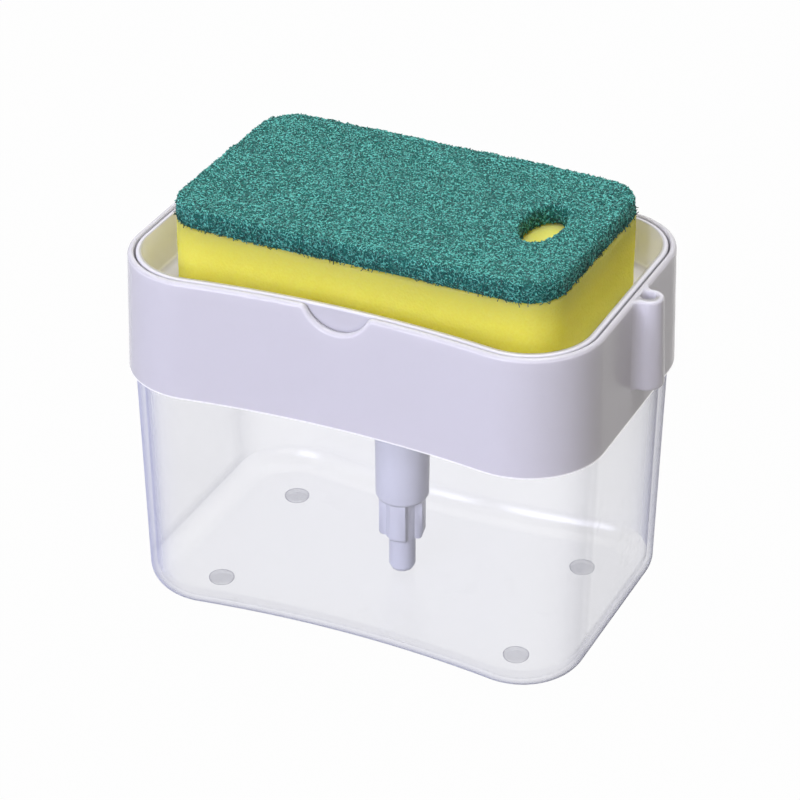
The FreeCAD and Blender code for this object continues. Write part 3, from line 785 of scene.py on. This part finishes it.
# %% [markdown]
# ## Scouring pad
# The top layer is a web of crimped nylon fibres. Its body is a remeshed, roughened slab painted dark
# green as the shade in the depth of the web, and the web itself is thousands of short curled fibres
# laid over it. Geometry Nodes scatter the fibres: points on the faces that show, a curled line on
# each, turned at random in the plane and tipped a little, and a thin three-sided tube round every
# line. Round the lower edge, where the web is torn and in its own shadow, a second set, painted a
# darker green for that shadow, stands out ragged.

# %% Shape the pad's body
PAD_VOXEL = 0.7 * MM
PAD_INSET = 0.35 * MM
PAD_FOOT = 0.6 * MM
PAD_WAVES = [(26 * MM, 0.5 * MM), (4 * MM, 0.2 * MM), (1.1 * MM, 0.3 * MM)]
WORN_FROM = 2.0 * MM
WEAR_ROUNDS = 14


def soften(piece, rounds, keep_below):
    """Wear the edges round by moving each point towards its neighbours, above a height."""
    work = bmesh.new()
    work.from_mesh(piece.data)
    loose = [vertex for vertex in work.verts if vertex.co.z > keep_below]
    for _ in range(rounds):
        bmesh.ops.smooth_vert(work, verts=loose, factor=0.5, use_axis_x=True, use_axis_y=True,
                              use_axis_z=True)
    work.to_mesh(piece.data)
    work.free()


pad = even_skin("scouring_pad", "pad_body", PAD_VOXEL)
soften(pad, WEAR_ROUNDS, pad_low.z + WORN_FROM)
roughen(pad, PAD_WAVES, pad_low.z + PAD_FOOT, PAD_INSET)
pad.data.shade_smooth()
print("pad faces:", len(pad.data.polygons))

# %% Mix the pad's nylon
STRAND_SIZE = 0.42 * MM
STRAND_DEPTH = 0.5 * MM
CLUMP_SIZE = 2.6 * MM
DRIFT_SIZE = 0.55 * MM
DRIFT_PATCH = 7 * MM


def nylon_web():
    """Green web, painted dark as the shade in its depth, with lighter strands near the surface."""
    book = new_paint("green_nylon_web")
    strands = book.noise(STRAND_SIZE, 3.0, 0.6)
    clumps = book.noise(CLUMP_SIZE)
    mask = ((strands - 0.40) * 3.6 + (clumps - 0.5) * 0.4).clamped()
    # Painted shade: the dark end of the web's green stands for the shade in its depth.
    shade = book.mix(mask, tint(4, 50, 49), tint(36, 124, 112))
    return book.finish(book.surface({
        "Base Color": shade, "Roughness": 0.75, "Specular IOR Level": 0.3,
        "Normal": book.bump(strands, STRAND_DEPTH, 0.9)}))


def nylon_fibre(name, dark, light):
    """Crimped fibre whose colour drifts from strand to strand."""
    book = new_paint(name)
    drift = book.noise(DRIFT_SIZE, 1.0)
    patch = book.noise(DRIFT_PATCH)
    mask = ((drift - 0.40) * 5.0 + (patch - 0.5) * 0.4).clamped()
    shade = book.mix(mask, dark, light)
    return book.finish(book.surface({
        "Base Color": shade, "Roughness": 0.45, "Specular IOR Level": 0.5}))


pad.data.materials.append(nylon_web())
fibre_nylon = nylon_fibre("green_nylon_fibre", tint(2, 64, 62), tint(93, 187, 173))
# Painted shade: the ragged lower edge's fibres are a darker copy of the web's green, for its shadow.
shaded_fringe_nylon = nylon_fibre("nylon_fringe_painted_shade", tint(3, 40, 38), tint(24, 96, 86))
print("nylon finishes:", pad.data.materials[0].name, fibre_nylon.name, shaded_fringe_nylon.name)

# %% [markdown]
# ### The tree that lays the fibres
# The tree's sizes and limits are named inputs, so one tree lays both the web and its ragged lower
# edge, and a reader can change either without opening it. The seed is fixed, and the web comes out
# the same each time.

# %% Plan the tree
FIBRE_INPUTS = [
    ("Fibres per m2", "NodeSocketFloat", 2.0e6),
    ("Fibre length", "NodeSocketFloat", 1.7 * MM),
    ("Fibre radius", "NodeSocketFloat", 0.15 * MM),
    ("Curl", "NodeSocketFloat", 0.7 * MM),
    ("Curl size", "NodeSocketFloat", 0.8 * MM),
    ("Tip", "NodeSocketFloat", 0.16),
    ("Lowest slope", "NodeSocketFloat", -0.4),
    ("Highest slope", "NodeSocketFloat", 2.0),
    ("Highest place", "NodeSocketFloat", 1.0),
    ("Seed", "NodeSocketInt", 7),
    ("Finish", "NodeSocketMaterial", None),
]


class Planner:
    """Adds and wires the nodes of one Geometry Nodes tree."""

    def __init__(self, name, inputs):
        self.tree = bpy.data.node_groups.new(name, "GeometryNodeTree")
        face = self.tree.interface
        face.new_socket("Geometry", in_out="INPUT", socket_type="NodeSocketGeometry")
        face.new_socket("Geometry", in_out="OUTPUT", socket_type="NodeSocketGeometry")
        for label, kind, value in inputs:
            socket = face.new_socket(label, in_out="INPUT", socket_type=kind)
            if value is not None:
                socket.default_value = value
        self.start = self.tree.nodes.new("NodeGroupInput")
        self.end = self.tree.nodes.new("NodeGroupOutput")

    def given(self, label):
        return self.start.outputs[label]

    def node(self, kind, settings=None, values=None):
        made = self.tree.nodes.new(kind)
        for key, value in (settings or {}).items():
            setattr(made, key, value)
        for key, value in (values or {}).items():
            if isinstance(value, bpy.types.NodeSocket):
                self.tree.links.new(value, made.inputs[key])
            else:
                made.inputs[key].default_value = value
        return made

    def maths(self, operation, first, second):
        return self.node("ShaderNodeMath", {"operation": operation}, {0: first, 1: second}).outputs[0]

    def finish(self, geometry):
        self.tree.links.new(geometry, self.end.inputs["Geometry"])
        return self.tree


# %% Build the fibre tree
FIBRE_POINTS = 4
FIBRE_SIDES = 3
SHORTEST = 0.6
LONGEST = 1.3


def faces_shown(plan):
    """One on the faces whose slope and height are within the limits."""
    normal = plan.node("GeometryNodeInputNormal").outputs[0]
    upward = plan.node("ShaderNodeSeparateXYZ", {}, {0: normal}).outputs["Z"]
    spot = plan.node("GeometryNodeInputPosition").outputs[0]
    height = plan.node("ShaderNodeSeparateXYZ", {}, {0: spot}).outputs["Z"]
    steep = plan.maths("GREATER_THAN", upward, plan.given("Lowest slope"))
    flat = plan.maths("LESS_THAN", upward, plan.given("Highest slope"))
    below = plan.maths("LESS_THAN", height, plan.given("Highest place"))
    return plan.maths("MULTIPLY", plan.maths("MULTIPLY", steep, flat), below)


def straight_fibre(plan):
    """One short line along X, in a few steps so that it can bend."""
    ends = [plan.maths("MULTIPLY", plan.given("Fibre length"), share) for share in (-0.5, 0.5)]
    back, front = [plan.node("ShaderNodeCombineXYZ", {}, {0: end}).outputs[0] for end in ends]
    line = plan.node("GeometryNodeCurvePrimitiveLine", {}, {"Start": back, "End": front})
    return plan.node("GeometryNodeResampleCurve", {}, {
        "Curve": line.outputs[0], "Count": FIBRE_POINTS}).outputs[0]


def laid_fibres(plan):
    """Straight fibres on the faces that are shown, turned at random and tipped a little."""
    scatter = plan.node("GeometryNodeDistributePointsOnFaces", {}, {
        "Mesh": plan.given("Geometry"), "Selection": faces_shown(plan),
        "Density": plan.given("Fibres per m2"), "Seed": plan.given("Seed")})
    tip = plan.given("Tip")
    dip = plan.maths("MULTIPLY", tip, -1.0)
    low = plan.node("ShaderNodeCombineXYZ", {}, {0: dip, 1: dip}).outputs[0]
    high = plan.node("ShaderNodeCombineXYZ", {}, {0: tip, 1: tip, 2: 2 * math.pi}).outputs[0]
    turn = plan.node("FunctionNodeRandomValue", {"data_type": "FLOAT_VECTOR"},
                     {0: low, 1: high, "Seed": plan.given("Seed")}).outputs[0]
    turned = plan.node("FunctionNodeRotateRotation", {"rotation_space": "LOCAL"},
                       {0: scatter.outputs["Rotation"], 1: turn}).outputs[0]
    size = plan.node("FunctionNodeRandomValue", {"data_type": "FLOAT"},
                     {2: SHORTEST, 3: LONGEST}).outputs[1]
    laid = plan.node("GeometryNodeInstanceOnPoints", {}, {
        "Points": scatter.outputs["Points"], "Instance": straight_fibre(plan),
        "Rotation": turned, "Scale": size})
    return plan.node("GeometryNodeRealizeInstances", {}, {0: laid.outputs[0]}).outputs[0]


def curled_tubes(plan, lines):
    """Bend the lines by a noise and draw a thin tube round each."""
    place = plan.node("GeometryNodeInputPosition").outputs[0]
    pitch = plan.maths("DIVIDE", 1.0, plan.given("Curl size"))
    crimp = plan.node("ShaderNodeTexNoise", {}, {"Vector": place, "Scale": pitch, "Detail": 0.0})
    centred = plan.node("ShaderNodeVectorMath", {"operation": "SUBTRACT"},
                        {0: crimp.outputs["Color"], 1: (0.5, 0.5, 0.5)}).outputs[0]
    shift = plan.node("ShaderNodeVectorMath", {"operation": "SCALE"},
                      {0: centred, "Scale": plan.given("Curl")}).outputs[0]
    curled = plan.node("GeometryNodeSetPosition", {}, {"Geometry": lines, "Offset": shift})
    ring = plan.node("GeometryNodeCurvePrimitiveCircle", {}, {
        "Resolution": FIBRE_SIDES, "Radius": plan.given("Fibre radius")})
    return plan.node("GeometryNodeCurveToMesh", {}, {
        "Curve": curled.outputs[0], "Profile Curve": ring.outputs[0]}).outputs[0]


def fibre_tree():
    """Curled fibres on the faces of a body whose slope and height are within the limits."""
    plan = Planner("nylon_fibres", FIBRE_INPUTS)
    tubes = curled_tubes(plan, laid_fibres(plan))
    whole = plan.node("GeometryNodeRealizeInstances", {}, {0: tubes})
    smooth = plan.node("GeometryNodeSetShadeSmooth", {}, {0: whole.outputs[0]})
    coated = plan.node("GeometryNodeSetMaterial", {}, {
        "Geometry": smooth.outputs[0], "Material": plan.given("Finish")})
    return plan.finish(coated.outputs[0])


# %% Grow the web and its ragged edge
def grow(base, tree, name, changes):
    """Run a tree on a copy of base, with some inputs changed, and keep the result as a plain mesh."""
    host = add(name, base.data.copy())
    grown = host.modifiers.new("grown", "NODES")
    grown.node_group = tree
    for item in tree.interface.items_tree:
        if item.in_out == "INPUT" and item.name in changes:
            grown[item.identifier] = changes[item.name]
    settle(host)
    return host


web_tree = fibre_tree()
fibres = grow(pad, web_tree, "pad_fibres", {"Finish": fibre_nylon})
fringe = grow(pad, web_tree, "pad_fringe", {
    "Finish": shaded_fringe_nylon, "Seed": 11, "Fibres per m2": 2.4e6, "Fibre length": 2.3 * MM,
    "Fibre radius": 0.14 * MM, "Curl": 1.0 * MM, "Tip": 0.75, "Highest slope": 0.4,
    "Highest place": pad_low.z + 1.5 * MM})
for piece in (fibres, fringe):
    print(piece.name, "triangles:", sum(len(p.vertices) - 2 for p in piece.data.polygons))

# %% Put the pad on the sponge
for piece in (pad, fibres, fringe):
    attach(piece, "sponge")
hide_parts("scouring_pad")
